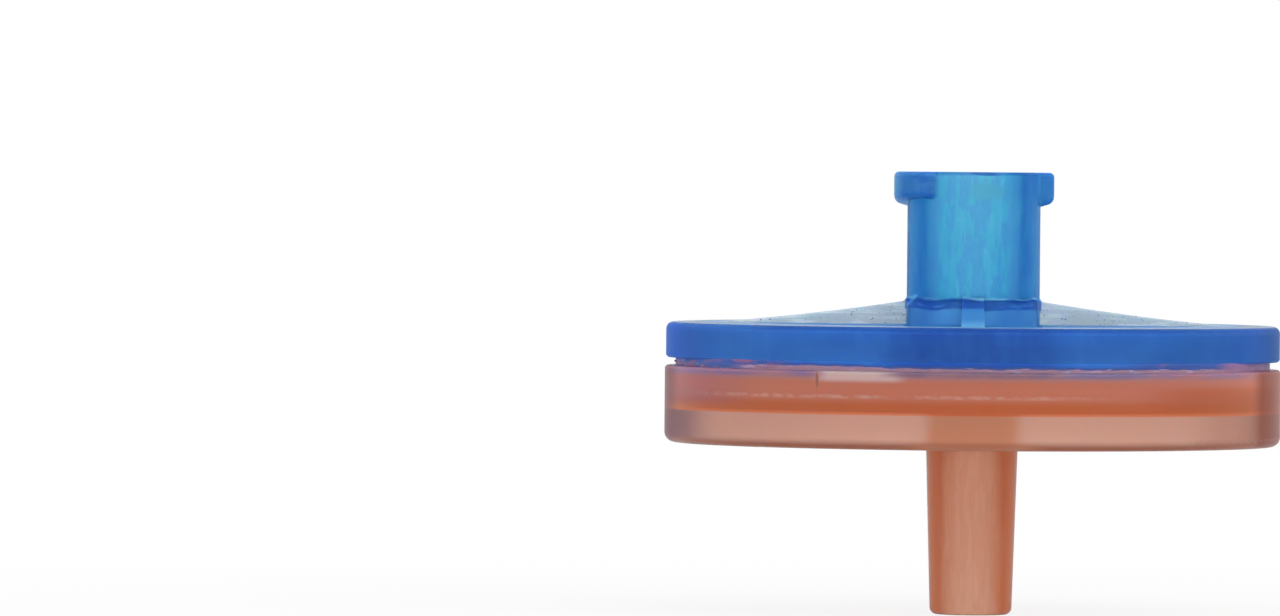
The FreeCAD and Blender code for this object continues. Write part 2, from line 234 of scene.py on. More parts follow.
class Coats:
    """The tone of a plastic's milk and the milk's share of the surface, laid on in coats.

    A mask is 1 where a coat covers and 0 where it doesn't. The masks of one coat multiply, and
    a plain number among them thins the coat. The masks in within limit every coat.
    """

    def __init__(self, tree, tone, milk):
        self.tree = tree
        self.where, self.x, self.y, self.height, self.radius = places(tree)
        self.tone, self.milk = colour(tone), milk
        self.within = ()

    def lay(self, tone, milk, *masks):
        """Lays a tone and a share of milk. None leaves the tone, or the milk, as it was."""
        mask = self.both(*masks, *self.within)
        if tone is not None:
            self.tone = painted(self.tree, self.tone, colour(tone), mask)
        if milk is not None:
            self.milk = painted(self.tree, self.milk, milk, mask)

    def both(self, *masks):
        """1 where every mask is 1."""
        return sums(self.tree, "MULTIPLY", *masks)

    def either(self, *masks):
        """1 where any mask is 1."""
        return sums(self.tree, "MAXIMUM", *masks)

    def outside(self, mask):
        """1 where a mask is 0."""
        return sums(self.tree, "SUBTRACT", 1.0, mask)

    def across(self, left, right, soft):
        """1 between two values of x."""
        return band(self.tree, self.x, left, right, soft)

    def level(self, low, high, soft):
        """1 between two heights."""
        return band(self.tree, self.height, low, high, soft)

    def ring(self, inner, outer, soft):
        """1 between two distances from the axis."""
        return band(self.tree, self.radius, inner, outer, soft)

    def noise(self, stretch, detail=2.0):
        """Noise with a stretched grain."""
        return speckle(self.tree, self.where, stretch, detail)

    def cloud(self, stretch, detail, least, soft):
        """1 in patches, with a stretched grain."""
        return patches(self.tree, self.noise(stretch, detail), least, soft)

    def swaying(self, value, stretch, reach):
        """A value moved up and down by noise, over a whole width of reach at most."""
        shift = self.both(sums(self.tree, "SUBTRACT", self.noise(stretch), 0.5), reach)
        return sums(self.tree, "ADD", value, shift)

    def rough(self, height, strength, depth, normal=None):
        """The normal of a surface with a fine relief of a depth in mm."""
        inputs = {"Height": height, "Strength": strength, "Distance": depth * MM}
        if normal is not None:
            inputs["Normal"] = normal
        return add(self.tree, "ShaderNodeBump", inputs).outputs[0]


print("coats reach", SIDE, "mm to either side, and the rim", round(body_r, 2), "mm")

# %% [markdown]
# Polypropylene is a slightly milky plastic. Some of the light that enters is spread by
# the crystals in it, which gives a soft body colour. The rest goes on and is filtered by
# the dye. So the surface mixes two shaders: a milky one with subsurface scattering, and
# a clear one that bends light like frosted glass. A face met from inside is all clear,
# because the milk was counted where the light came in.
# The dye is a plain volume absorption: a long way through the plastic is deep in colour.
#
# Solid polypropylene has an IOR of 1.49, and the gloss of the milk uses it. Its crystals
# scatter light on the way, and that washes out most of the bending, so the clear share
# gets a lower value: 1.12 for the blue, whose bore and far side show almost unbent, and
# 1.35 for the orange, whose hollow skirt does bend what lies behind it.
# Where the mould was polished, the roughness falls to POLISH.

# %% The dyed plastic
PP_IOR = 1.49
SOFT_IOR = 1.12
SKIRT_IOR = 1.35
POLISH = 0.12
FAINT_GLOSS = 0.04


def bare(name):
    """A new material without nodes, and its tree."""
    material = bpy.data.materials.new(name)
    material.use_nodes = True
    material.node_tree.nodes.clear()
    return material, material.node_tree


def dyed_plastic(name, paint, haze, gloss, spread, dye, dye_density, bend=SOFT_IOR):
    """A material of milk, clear plastic and dye.

    paint(tree) gives the milk's colour, its share of the surface, the bump's normal, and where the
    surface is polished by the mould, or None where its roughness is the same all over.
    """
    material, tree = bare(name)
    tone, milk, normal, polished = paint(tree)
    if polished is not None:
        haze = painted(tree, haze, POLISH, polished)
        gloss = painted(tree, gloss, POLISH, polished)
    milky = add(tree, "ShaderNodeBsdfPrincipled", {
        "Base Color": tone, "Roughness": gloss, "IOR": PP_IOR, "Specular IOR Level": FAINT_GLOSS,
        "Subsurface Weight": 1.0, "Subsurface Radius": spread, "Subsurface Scale": MM,
        "Normal": normal}).outputs[0]
    clear = add(tree, "ShaderNodeBsdfGlass", {
        "Color": (1, 1, 1, 1), "Roughness": haze, "IOR": bend, "Normal": normal}).outputs[0]
    inner_side = add(tree, "ShaderNodeNewGeometry").outputs["Backfacing"]
    share = sums(tree, "MULTIPLY", milk, sums(tree, "SUBTRACT", 1.0, inner_side))
    surface = add(tree, "ShaderNodeMixShader", {0: share, 1: clear, 2: milky}).outputs[0]
    body = add(tree, "ShaderNodeVolumeAbsorption", {"Color": dye, "Density": dye_density}).outputs[0]
    add(tree, "ShaderNodeOutputMaterial", {"Surface": surface, "Volume": body})
    print(name, "has", len(tree.nodes), "nodes")
    return material


print("clear share: IOR", SOFT_IOR, "in the blue and", SKIRT_IOR, "in the orange")

# %% [markdown]
# The blue half has five zones, and each gets its own short function. The first is the
# plate with the rim's top, as it shows from above. The flow ridges lie under the plate,
# too deep in the milk to be seen through it, so their shade is painted on the plate as
# faint rings. Where a ridge meets one of the diagonal lanes a darker dot of painted
# shadow is laid. The grey ring near the edge is the weld, with a wavy border and melted
# patches.

# %% Blue plate
THICK = 0.85    # the milk's share where the plastic hides what lies behind it
PLATE_TONE, PLATE_EDGE_TONE = "#5cb4ff", "#5aa8f8"
WELD_TONE, MELTED_TONE = "#83a1bc", "#6e889e"
# The rings below the plate show as painted shade, and their dots as painted shadow.
RIDGE_SHADE_TONE, DOT_SHADOW_TONE, PARTING_TONE = "#3a7ed8", "#2a66bc", "#8ccaf8"
WELD_SWAY = ((1.6, 1.6, 1.6), 0.6)
MELTED = ((1.2, 1.2, 1.2), 3.0, 0.5, 0.1)
MELTED_FROM, MELTED_TO = 0.1, 0.8           # outwards from the membrane's edge
RINGS_FROM_R, RINGS_TO_R = 4.0, FLOW_R - 0.5
LANE = (-0.2, 0.2, 0.15)
PARTING = (-0.03, 0.03, 0.05)
RING_SHARE, DOT_SHARE, PARTING_SHARE = 0.16, 0.5, 0.5
RING_CREST = (0.7, 0.2)     # the least height of a ring that shows as a dot, and how soft it ends


def plate_coats(coats, facing_up):
    """The plate, the painted shade of the rings below it with dots of painted shadow on the lanes, and the
    weld round it.

    The rings are a cosine of the distance from the well, one turn for each pitch. The lanes are
    where the sizes of x and y are nearly the same.
    """
    tree = coats.tree
    coats.lay(PLATE_TONE, THICK, coats.ring(-PAST, FLOW_R, SOFT))
    coats.lay(PLATE_EDGE_TONE, THICK, coats.ring(FLOW_R, body_r, SOFT))
    wavy = coats.swaying(coats.radius, *WELD_SWAY)
    coats.lay(WELD_TONE, THICK, band(tree, wavy, membrane_r - 0.05, body_r + PAST, 0.45))
    coats.lay(MELTED_TONE, THICK, coats.cloud(*MELTED),
              band(tree, wavy, membrane_r + MELTED_FROM, membrane_r + MELTED_TO, 0.25))
    turn = coats.both(sums(tree, "SUBTRACT", coats.radius, WELL_R), 2 * math.pi / RIDGE_PITCH)
    wave = add(tree, "ShaderNodeMath", {0: turn}, operation="COSINE").outputs[0]
    ridges = add(tree, "ShaderNodeMapRange", {"Value": wave, "From Min": -1.0}).outputs[0]
    over_flow = coats.both(facing_up, coats.ring(RINGS_FROM_R, RINGS_TO_R, 1.0))
    # Faint rings of painted shade, where the ridges below the plate lie.
    coats.lay(RIDGE_SHADE_TONE, THICK, over_flow, ridges, RING_SHARE)
    sizes = [add(tree, "ShaderNodeMath", {0: side}, operation="ABSOLUTE").outputs[0]
             for side in (coats.x, coats.y)]
    lane = band(tree, sums(tree, "SUBTRACT", *sizes), *LANE)
    # Dots of painted shadow where a ridge meets a lane.
    coats.lay(DOT_SHADOW_TONE, THICK, over_flow, lane, patches(tree, ridges, *RING_CREST), DOT_SHARE)
    coats.lay(PARTING_TONE, THICK, facing_up, coats.across(*PARTING),
              coats.ring(FLOW_R, body_r, CRISP), PARTING_SHARE)


print("flow rings:", int((FLOW_R - WELL_R) / RIDGE_PITCH), "at a pitch of", RIDGE_PITCH, "mm")

# %% [markdown]
# The rim's wall is the deepest blue, because there the eye looks along the weld. It is
# deepest in the middle, in a painted shade of the hub, worn in places, and drawn down in
# faint streaks. A band of painted shade runs along its top edge. Its two ends curve away,
# and are painted a deeper, purer blue: painted shade against the pale light that glances
# off them there.

# %% Blue wall of the rim
RIM_BLUE = "#3e7ac8"
# The next tone is the painted shade of the hub, in the rim's middle.
RIM_HUB_SHADE = "#3060b0"
RIM_WORN = "#3464b0"
RIM_DRAWN = "#4a84d0"
RIM_RIGHT = "#1a4a9a"
# The next three tones are painted shade: at the rim's sides, along its top edge, and at its ends.
RIM_SIDE_SHADE = "#2058b0"
RIM_TOP_SHADE = "#1d4c98"
RIM_LIMB_SHADES = ((-SIDE, -14.1, "#0858c2"), (14.1, SIDE, "#044c96"))
RIM_SHADED_MIDDLE, RIM_FRONT = (-4.0, 4.0, 2.5), (-12.5, 12.5, 3.0)
RIM_RIGHT_PART, RIM_TOP_SHADE_PART = (8.0, SIDE, 6.0), (-11.0, 11.0, 6.0)
WORN = ((5.0, 5.0, 1.5), 3.0, 0.52, 0.15)
DRAWN = ((0.8, 0.8, 3.0), 3.0, 0.55, 0.1)
EDGE_DEPTH = 0.2
RIM_MILK = 0.88


def rim_shaded_middle(tree, x):
    """1 in the middle of the rim's front, below the hub, where a painted shade makes it deeper than its
    sides.
    """
    return band(tree, x, *RIM_SHADED_MIDDLE)


def wall_coats(coats):
    """The outer wall of the rim, from its middle out to its ends."""
    wall = coats.both(coats.ring(membrane_r, body_r + PAST, CRISP), coats.level(0.0, rim_top - 0.015, HARD))
    coats.lay(RIM_BLUE, RIM_MILK, wall)
    # Painted shade of the hub in the middle of the rim.
    coats.lay(RIM_HUB_SHADE, RIM_MILK, wall, rim_shaded_middle(coats.tree, coats.x))
    coats.lay(RIM_WORN, RIM_MILK, wall, coats.cloud(*WORN), 0.4)
    coats.lay(RIM_DRAWN, THICK, wall, coats.cloud(*DRAWN), 0.2)
    coats.lay(RIM_RIGHT, RIM_MILK, wall, coats.across(*RIM_RIGHT_PART), 0.3)
    # Painted shade at the sides and ends of the rim, where it curves away.
    coats.lay(RIM_SIDE_SHADE, 0.92, wall, coats.outside(coats.across(*RIM_FRONT)), 0.7)
    for left, right, tone in RIM_LIMB_SHADES:
        coats.lay(tone, 0.95, wall, coats.across(left, right, 1.4))
    # Painted shade along the rim's top edge.
    coats.lay(RIM_TOP_SHADE, RIM_MILK, wall, coats.level(rim_top - EDGE_DEPTH, rim_top + PAST, 0.15),
              coats.across(*RIM_TOP_SHADE_PART), 0.6)


print("rim wall:", round(rim_top - rim_low, 2), "mm tall")

# %% [markdown]
# The hub is a clear tube, so it has little milk and its dye does most of the work. Its
# flanks are deeper, because there the eye looks along the wall. The middle is streaked
# where the plastic was drawn along the core of the mould, and the streaks are laid in a
# light cyan mostly in the middle: painted light, for the light that comes through the
# bore. Pale flecks on them are painted highlights. The lock lugs are solid.

# %% Blue hub and lock lugs
HUB_TONE, HUB_CLEAR = "#1c66b8", 0.06
FLANK_TONE, LEFT_EDGE_TONE, SHOULDER_TONE = "#4e76c4", "#3460ac", "#66a8d4"
# The third of these stretches is the hub's middle, where the streaks carry painted light.
HUB_FRONT, LEFT_EDGE, BRIGHT_PART = (-2.3, 2.3, 0.8), (-4.0, -3.08, 0.1), (-1.8, 1.7, 0.7)
SHOULDERS = ((-2.35, -1.5, 0.5), (1.5, 2.35, 0.5))
# The streaks' light cyan is painted light, and the flecks are painted highlights.
STREAK_TONE, HIGHLIGHT_FLECK_TONE, TOP_EDGE_TONE = "#54d2d4", "#7ad4ea", "#2a68ac"
LUG_TONE, LUG_PALE_TONE, LUG_DEEP_TONE = "#3f82c2", "#5a94c4", "#2f6cb8"
HUB_STREAKS, STREAKS_SHOW = ((0.55, 0.55, 1.5), 4.0), (0.49, 0.1)
SIDE_STREAKS = 0.3      # how much of the streaks is left at the hub's sides
HIGHLIGHT_FLECKS = ((0.22, 0.22, 1.1), 3.0, 0.6, 0.05)
LUG_CLOUD = ((1.0, 1.0, 0.35), 3.0, 0.55, 0.1)
LUG_PALE_PART = (-2.9, -1.5, 0.4)
LUG_HEIGHT = 1.7
LUG_MILK = 0.75


def hub_coats(coats):
    """The tube above the mould's joint, and its lugs. Returns where the tube is, and its streaks."""
    tube = coats.level(joint, hub_top + PAST, 0.15)
    coats.lay(HUB_TONE, HUB_CLEAR, tube)
    coats.lay(FLANK_TONE, 0.3, tube, coats.outside(coats.across(*HUB_FRONT)))
    coats.lay(LEFT_EDGE_TONE, 0.6, tube, coats.across(*LEFT_EDGE))
    for shoulder in SHOULDERS:
        coats.lay(SHOULDER_TONE, 0.34, tube, coats.across(*shoulder))
    streaks = coats.noise(*HUB_STREAKS)
    # Light cyan streaks, mostly in the middle, are painted light from the bore; the flecks are painted
    # highlights.
    lit_middle = coats.both(tube, coats.either(coats.across(*BRIGHT_PART), SIDE_STREAKS))
    coats.lay(STREAK_TONE, 0.32, lit_middle, patches(coats.tree, streaks, *STREAKS_SHOW))
    coats.lay(HIGHLIGHT_FLECK_TONE, 0.45, lit_middle, coats.cloud(*HIGHLIGHT_FLECKS), 0.7)
    coats.lay(TOP_EDGE_TONE, 0.5, tube, coats.level(hub_top - 0.16, hub_top + PAST, CRISP))
    lug = coats.both(coats.level(hub_top - LUG_HEIGHT, hub_top + PAST, 0.05),
                     coats.ring(HUB_R + 0.1, HUB_R + 2.0, CRISP))
    coats.lay(LUG_TONE, LUG_MILK, lug)
    coats.lay(LUG_PALE_TONE, LUG_MILK, lug, coats.across(*LUG_PALE_PART), 0.6)
    coats.lay(LUG_DEEP_TONE, 0.8, lug, coats.cloud(*LUG_CLOUD), 0.6)
    return tube, streaks


print("hub above the joint:", round(hub_top - joint, 2), "mm tall")

# %% [markdown]
# Below the joint the hub stands on the plate, between four thin fins. Seen from the side
# a fin is almost white, because it is thin, matte and lit from behind, and it has fine
# streaks and a few dark specks. Its top is blue, and deeper towards the hub. The middle of
# the hub's foot is painted lighter: painted light, for the light that comes through it.

# %% Blue foot of the hub, and the fins
# The third tone is the painted light in the middle of the hub's foot.
BASE_TONE, BASE_HUB_TONE, FOOT_PAINTED_LIGHT_TONE = "#3a76be", "#4e90cc", "#64acdf"
POCKET_TONE, POCKET_HUB_TONE = "#86b2d2", "#5094c8"
FIN_TOP_TONE, FIN_TOP_HUB_TONE, END_FACE_TONE = "#5eaef6", "#4086d4", "#4080ec"
FIN_TONE, FIN_HUB_TONE, FIN_STREAK_TONE, SPECK_TONE = "#ced2ca", "#eef2f4", "#e6e8e0", "#42506e"
FIN_STREAKS = ((2.0, 2.0, 0.25), 3.0, 0.55, 0.08)
SPECKS = ((0.12, 0.12, 0.08), 1.0, 0.72, 0.02)
FOOT_PAINTED_LIGHT_PART, FIN_HUB_PART = (-1.9, 1.0, 1.2), (3.0, 4.2, 1.6)
FIN_TOP_FADE_R, FIN_TOP_FADE = 10.5, 4.0
FIN_MILK = 0.92
FIN_ZONE_R = body_r - 1.5


def foot_coats(coats, facing_up, upright):
    """The pockets' walls, the hub's foot, the fins' tops and the hub's end face."""
    tree = coats.tree
    foot = coats.level(rim_top, joint, CRISP)
    in_pocket = coats.both(upright, coats.ring(0.0, FLOW_R + 0.4, CRISP),
                           coats.level(rim_top - 1.0, rim_top + 0.03, 0.04))
    arms = coats.either(*(band(tree, side, -FIN_HALF, FIN_HALF, 0.05) for side in (coats.x, coats.y)))
    fin_top = coats.both(facing_up, arms, coats.ring(HUB_R, FIN_END_R, SOFT))
    end_face = coats.both(facing_up, coats.level(hub_top - 0.1, hub_top + PAST, CRISP))
    coats.lay(BASE_TONE, 0.8, foot, coats.ring(0.0, FIN_ZONE_R, CRISP))
    coats.lay(POCKET_TONE, RIM_MILK, in_pocket)
    coats.lay(POCKET_HUB_TONE, THICK, in_pocket, coats.ring(0.0, HUB_R + 0.2, 0.05))
    coats.lay(FIN_TOP_TONE, THICK, fin_top)
    coats.lay(FIN_TOP_HUB_TONE, THICK, fin_top, coats.ring(0.0, FIN_TOP_FADE_R, FIN_TOP_FADE))
    coats.lay(END_FACE_TONE, 0.7, end_face)
    coats.lay(BASE_HUB_TONE, THICK, foot, coats.ring(0.0, HUB_R, CRISP))
    # Painted light through the middle of the hub's foot.
    coats.lay(FOOT_PAINTED_LIGHT_TONE, THICK, foot, coats.ring(0.0, HUB_R + 0.1, CRISP),
              coats.across(*FOOT_PAINTED_LIGHT_PART))


def fin_coats(coats, upright):
    """The fins' pale sides."""
    fin = coats.both(upright, coats.level(rim_top - 0.02, joint + 0.3, 0.04),
                     coats.ring(HUB_R + 0.06, FIN_ZONE_R, CRISP))
    coats.lay(FIN_TONE, FIN_MILK, fin)
    coats.lay(FIN_HUB_TONE, 0.94, fin, coats.across(*FIN_HUB_PART), 0.3)
    coats.lay(FIN_STREAK_TONE, FIN_MILK, fin, coats.cloud(*FIN_STREAKS))
    coats.lay(SPECK_TONE, 0.9, fin, coats.cloud(*SPECKS))


print("fins:", 2 * FIN_HALF, "mm thick, out to", FIN_END_R, "mm from the axis")

# %% [markdown]
# At the joint of the mould the plastic folded over itself while it was soft. The folds
# are bands that sway up and down round the hub, broken by noise, and with them sways a
# pale band of painted highlight just above the joint. In front they run over the foot of
# the fin too. Three single marks on the hub's front finish it; the third is a painted
# highlight.

# %% Blue folds and spots
# Each band: from and to in mm above the joint, the size of its grain, the least noise
# that shows, and its tone. The first two are folds, and the third is a painted highlight.
FOLDS_AND_HIGHLIGHT = ((-0.5, 0.02, (1.8, 1.8, 0.5), 0.36, "#2a58b4"), (-0.34, -0.26, (0.9, 0.9, 0.4), 0.55, "#4f90dc"),
         (0.02, 0.13, (1.3, 1.3, 0.6), 0.5, "#70c4f4"))
FIN_FOLD_TONE = "#2452ae"
# Each spot: x, z, half width and half height in mm, a lean in degrees, its tone and its milk.
# The third spot is a painted highlight.
HUB_SPOTS = ((0.5, hub_top - 0.08, 0.75, 0.1, -3.0, "#2450a4", 0.75),
             (0.6, hub_top - 0.95, 1.0, 0.5, 0.0, "#60bcb0", 0.3),
             (-2.95, joint - 0.01, 0.4, 0.08, 48.0, "#63bdf2", 0.8))
FOLD_SWAY = ((2.4, 2.4, 3.0), 0.6)
FOLD_SOFT = 0.12


def fold_coats(coats):
    """Swaying bands round the hub and over the front fin's foot, and the spots."""
    tree = coats.tree
    on_fin = coats.both(coats.ring(HUB_R, HUB_R + 2.0, 1.0), coats.across(-FIN_HALF, FIN_HALF, CRISP),
                        band(tree, coats.y, -body_r, 0.0, 1.0))
    on_hub = coats.either(coats.ring(HUB_R - 0.5, HUB_R + 0.12, HARD), on_fin)
    swaying = coats.swaying(coats.height, *FOLD_SWAY)
    for low, high, grain_mm, least, tone in FOLDS_AND_HIGHLIGHT:
        coats.lay(tone, 0.8, on_hub, band(tree, swaying, joint + low, joint + high, FOLD_SOFT),
                  patches(tree, coats.noise(grain_mm), least, 0.1))
    coats.lay(FIN_FOLD_TONE, 0.86, on_fin, band(tree, swaying, joint - 0.5, joint - 0.02, FOLD_SOFT))
    for *ellipse, tone, milk in HUB_SPOTS:
        coats.lay(tone, milk, mark(tree, coats.where, *ellipse))


print(len(FOLDS_AND_HIGHLIGHT), "folds and", len(HUB_SPOTS), "spots on the hub")

# %% [markdown]
# The zones go on from the plate inwards, and the bore comes last: its wall has no milk,
# so the eye looks down it. The mould left the whole part slightly grained, the hub's
# streaks stand out a little, and the rim's flat top is half polished.

# %% Blue polypropylene of the inlet housing
BLUE_TONE, BLUE_MILK = "#3d84e0", 0.4
BLUE_DYE = (0.125, 0.658, 0.867, 1.0)
BLUE_SPREAD = (0.3, 0.5, 1.0)
BLUE_GRAIN = ((0.35, 0.35, 0.8), 3.0)
# The upward part of a face's normal: near 0 on a wall, and near 1 on a flat top.
UPRIGHT, FACING_UP = (-0.5, 0.5, 0.3), (0.8, 2.0, 0.2)
HALF_POLISHED = 0.5


def blue_paint(tree):
    """Deep rim, clear hub, pale fin sides, and a bore without milk."""
    coats = Coats(tree, BLUE_TONE, BLUE_MILK)
    normal = add(tree, "ShaderNodeTexCoord").outputs["Normal"]
    steepness = add(tree, "ShaderNodeSeparateXYZ", {0: normal}).outputs["Z"]
    upright = band(tree, steepness, *UPRIGHT)
    facing_up = band(tree, steepness, *FACING_UP)
    plate_coats(coats, facing_up)
    wall_coats(coats)
    tube, streaks = hub_coats(coats)
    foot_coats(coats, facing_up, upright)
    fin_coats(coats, upright)
    fold_coats(coats)
    coats.lay(None, 0.0, coats.ring(-PAST, BORE_R, HARD))
    grained = coats.rough(coats.noise(*BLUE_GRAIN), strength=0.15, depth=0.05)
    drawn = coats.rough(coats.both(streaks, tube), strength=0.2, depth=0.25, normal=grained)
    flat_top = coats.both(coats.level(rim_top - 0.05, rim_top + 0.02, HARD),
                          coats.ring(HUB_R, body_r, 0.05), HALF_POLISHED)
    return coats.tone, coats.milk, drawn, flat_top


blue_polypropylene = dyed_plastic("blue_polypropylene_moulded", blue_paint, haze=0.38, gloss=0.45,
                                  spread=BLUE_SPREAD, dye=BLUE_DYE, dye_density=1200.0)

# %% [markdown]
# The orange half is a cup over a hollow skirt. The wall of the skirt is thin and pale,
# the plate above it thick and saturated, and the cup above that a salmon pink. Between
# roof and seat lies the plate, and from the seat up the cup, whose lip took up some of
# the blue in the weld and turned mauve. The wall's ends are painted darker, as on the
# rim: painted shade.

# %% Orange wall
WALL_TONE, COLUMN_TONE = "#deb4a4", "#e2a684"
BOTTOM_TONE, BOTTOM_MIDDLE_TONE = "#a86c58", "#c88a6c"
SATURATED_TONE, SALMON_TONE, MAUVE_TONE, PALE_TONE = "#de7c50", "#da8a70", "#bb8a86", "#d8b8b4"
PLUM_TONE, ROSE_TONE = "#9e6078", "#cc7c74"
# Each band of painted shade at the wall's ends: from and to along x, its tone and its weight.
PAINTED_WALL_SHADES = ((11.0, SIDE, "#a06858", 0.5), (13.4, SIDE, "#88584c", 0.85), (-SIDE, -13.1, "#745460", 0.95))
# Where each zone starts, in mm above the seat.
CUP_FROM, SALMON_FROM, PALE_FROM, MAUVE_FROM = -0.7, -0.4, 0.55, 0.62
COLUMN, BOTTOM_MIDDLE, PALE_PART = (-2.1, 2.2, 0.8), (-3.0, 3.0, 2.0), (-7.3, -3.4, 1.0)
PLUM_PART, ROSE_PART = (-SIDE, -11.5, 4.0), (8.0, SIDE, 6.0)


def skirt_coats(coats):
    """The skirt's thin wall, the painted shade at its ends, and the plate and cup above it."""
    top = lip_top + PAST
    coats.lay(WALL_TONE, 0.5, coats.level(0.0, top, CRISP))
    # Painted shade at the wall's ends.
    for left, right, tone, weight in PAINTED_WALL_SHADES:
        coats.lay(tone, 0.75, coats.across(left, right, 2.4), weight)
    coats.lay(COLUMN_TONE, 0.5, coats.across(*COLUMN))
    bottom_edge = coats.level(0.0, skirt_edge + 0.3, SOFT)
    coats.lay(BOTTOM_TONE, 0.65, bottom_edge)
    coats.lay(BOTTOM_MIDDLE_TONE, 0.65, bottom_edge, coats.across(*BOTTOM_MIDDLE))
    coats.lay(SATURATED_TONE, 0.64, coats.level(roof - 0.1, top, CRISP))
    coats.lay(SALMON_TONE, 0.7, coats.level(seat + SALMON_FROM, top, 0.42))
    coats.lay(MAUVE_TONE, 0.8, coats.level(seat + MAUVE_FROM, top, SOFT))
    coats.lay(PALE_TONE, THICK, coats.level(seat + PALE_FROM, top, SOFT), coats.across(*PALE_PART))
    cup = coats.level(seat + CUP_FROM, top, 0.5)
    coats.lay(PLUM_TONE, 0.8, cup, coats.across(*PLUM_PART), 0.5)
    coats.lay(ROSE_TONE, 0.75, cup, coats.across(*ROSE_PART), 0.35)


print("skirt", round(roof - skirt_edge, 2), "mm, plate", round(seat - roof, 2),
      "mm, cup", round(lip_top - seat, 2), "mm")

# %% [markdown]
# The lip is mauve and cloudy in three stretches, where more or less blue was melted in.
# A broken pale line shows where the membrane's edge lies on its seat.

# %% Orange lip and the membrane's line
LIP_TONE, RIGHT_END_TONE = "#b07a96", "#c8683c"
MIXED_FROM = 0.76   # above the seat
WELD_STRETCHES = ((-SIDE, -7.5, "#8c76a4"), (-4.0, 4.0, "#80708e"), (4.0, 13.0, "#807ca6"))
# Narrower, darker painted shade at the wall's two ends.
PAINTED_END_SHADES = ((-SIDE, -14.4, "#6a2430"), (13.7, SIDE, "#7c3420"))
LIP_MIDDLE, RIGHT_END, SEAT_PART = (-9.0, 9.0, 3.0), (9.0, SIDE, 4.0), (-12.0, 5.1, 5.0)
CLOUDY = ((3.0, 3.0, 0.6), 3.0, 0.4, 0.2)
DASHES = ((0.55, 0.55, 0.3), 2.0, 0.5, 0.2)
SEAT_LINE_TONE, SCRATCH_TONE = "#d8a494", "#b07a66"
SCRATCH = (-7.4, seat + 0.6, 0.08, 0.42, 0.0)


def lip_coats(coats):
    """The lip's mixed tones, the painted shade at the wall's ends, the seat's line and one scratch."""
    top = lip_top + PAST
    cloudy = coats.cloud(*CLOUDY)
    weld_zone = coats.level(seat + MIXED_FROM, top, 0.26)
    for left, right, tone in WELD_STRETCHES:
        coats.lay(tone, 0.8, coats.across(left, right, 1.6), weld_zone, cloudy, 0.9)
    coats.lay(LIP_TONE, THICK, coats.level(lip_top - 0.1, top, CRISP),
              coats.outside(coats.across(*LIP_MIDDLE)), 0.8)
    coats.lay(RIGHT_END_TONE, 0.7, coats.level(roof, seat + 0.3, 0.4), coats.across(*RIGHT_END), 0.6)
    # Painted shade at the wall's two ends.
    for left, right, tone in PAINTED_END_SHADES:
        coats.lay(tone, 0.9, coats.across(left, right, 0.7), 0.8)
    coats.lay(SEAT_LINE_TONE, 0.8, coats.level(seat - 0.26, seat - 0.1, 0.14),
              coats.across(*SEAT_PART), coats.cloud(*DASHES))
    coats.lay(SCRATCH_TONE, 0.75, mark(coats.tree, coats.where, *SCRATCH))


print("the lip's mauve starts", round(lip_top - seat - MIXED_FROM, 2), "mm below its edge")

# %% [markdown]
# The nozzle is clear in its middle, where the lumen runs, and saturated at its sides,
# where the eye looks along the wall. The border between the two sways a little.

# %% Orange polypropylene of the outlet housing
ORANGE_TONE, ORANGE_MILK = "#d48a68", 0.3
NOZZLE_STREAK_TONE, NOZZLE_SIDE_TONE = "#e6b8a0", "#dc7e48"
ORANGE_DYE = (0.73, 0.30, 0.05, 1.0)
ORANGE_SPREAD = (1.0, 0.45, 0.25)
ORANGE_GRAIN = ((0.4, 0.4, 0.8), 3.0)
NOZZLE_STREAKS = ((0.3, 0.3, 2.2), 4.0, 0.52, 0.1)
LUMEN_SWAY = ((1.5, 1.5, 2.5), 0.8)
LUMEN_PART = (-1.5, 1.3, 0.8)


def nozzle_coats(coats):
    """The nozzle's streaks, its saturated sides, and a lumen without milk."""
    nozzle = coats.both(coats.ring(LUMEN_R, NOZZLE_ROOT_R, CRISP), coats.level(-PAST, roof, CRISP))
    coats.lay(NOZZLE_STREAK_TONE, None, nozzle, coats.cloud(*NOZZLE_STREAKS), 0.45)
    before_lumen = band(coats.tree, coats.swaying(coats.x, *LUMEN_SWAY), *LUMEN_PART)
    coats.lay(NOZZLE_SIDE_TONE, 0.5, nozzle, coats.outside(before_lumen))
    coats.lay(None, 0.0, coats.ring(-PAST, LUMEN_R, HARD), coats.level(0.05, roof, HARD))


def orange_paint(tree):
    """A saturated plate between a paler cup and a paler, hollow skirt."""
    coats = Coats(tree, ORANGE_TONE, ORANGE_MILK)
    coats.within = (coats.ring(body_r - 0.3, body_r + PAST, CRISP),)
    skirt_coats(coats)
    lip_coats(coats)
    coats.within = ()
    nozzle_coats(coats)
    normal = coats.rough(coats.noise(*ORANGE_GRAIN), strength=0.1, depth=0.05)
    return coats.tone, coats.milk, normal, None


orange_polypropylene = dyed_plastic("orange_polypropylene_moulded", orange_paint, haze=0.2, gloss=0.35,
                                    spread=ORANGE_SPREAD, dye=ORANGE_DYE, dye_density=850.0,
                                    bend=SKIRT_IOR)

# %% [markdown]
# The membrane is a thin sheet cast from a polymer full of tiny pores. The pores scatter
# all the light, so it is matte and white, and a little uneven where they differ. Real
# pores are far too fine to show, so they are drawn as soft grains of a quarter of a mm.

# %% White membrane
PORE_DARK, PORE_LIGHT = "#e9e7e1", "#f4f2ee"
PORE_GRAIN = ((0.25, 0.25, 0.25), 4.0)
PORE_DEPTH = 0.02


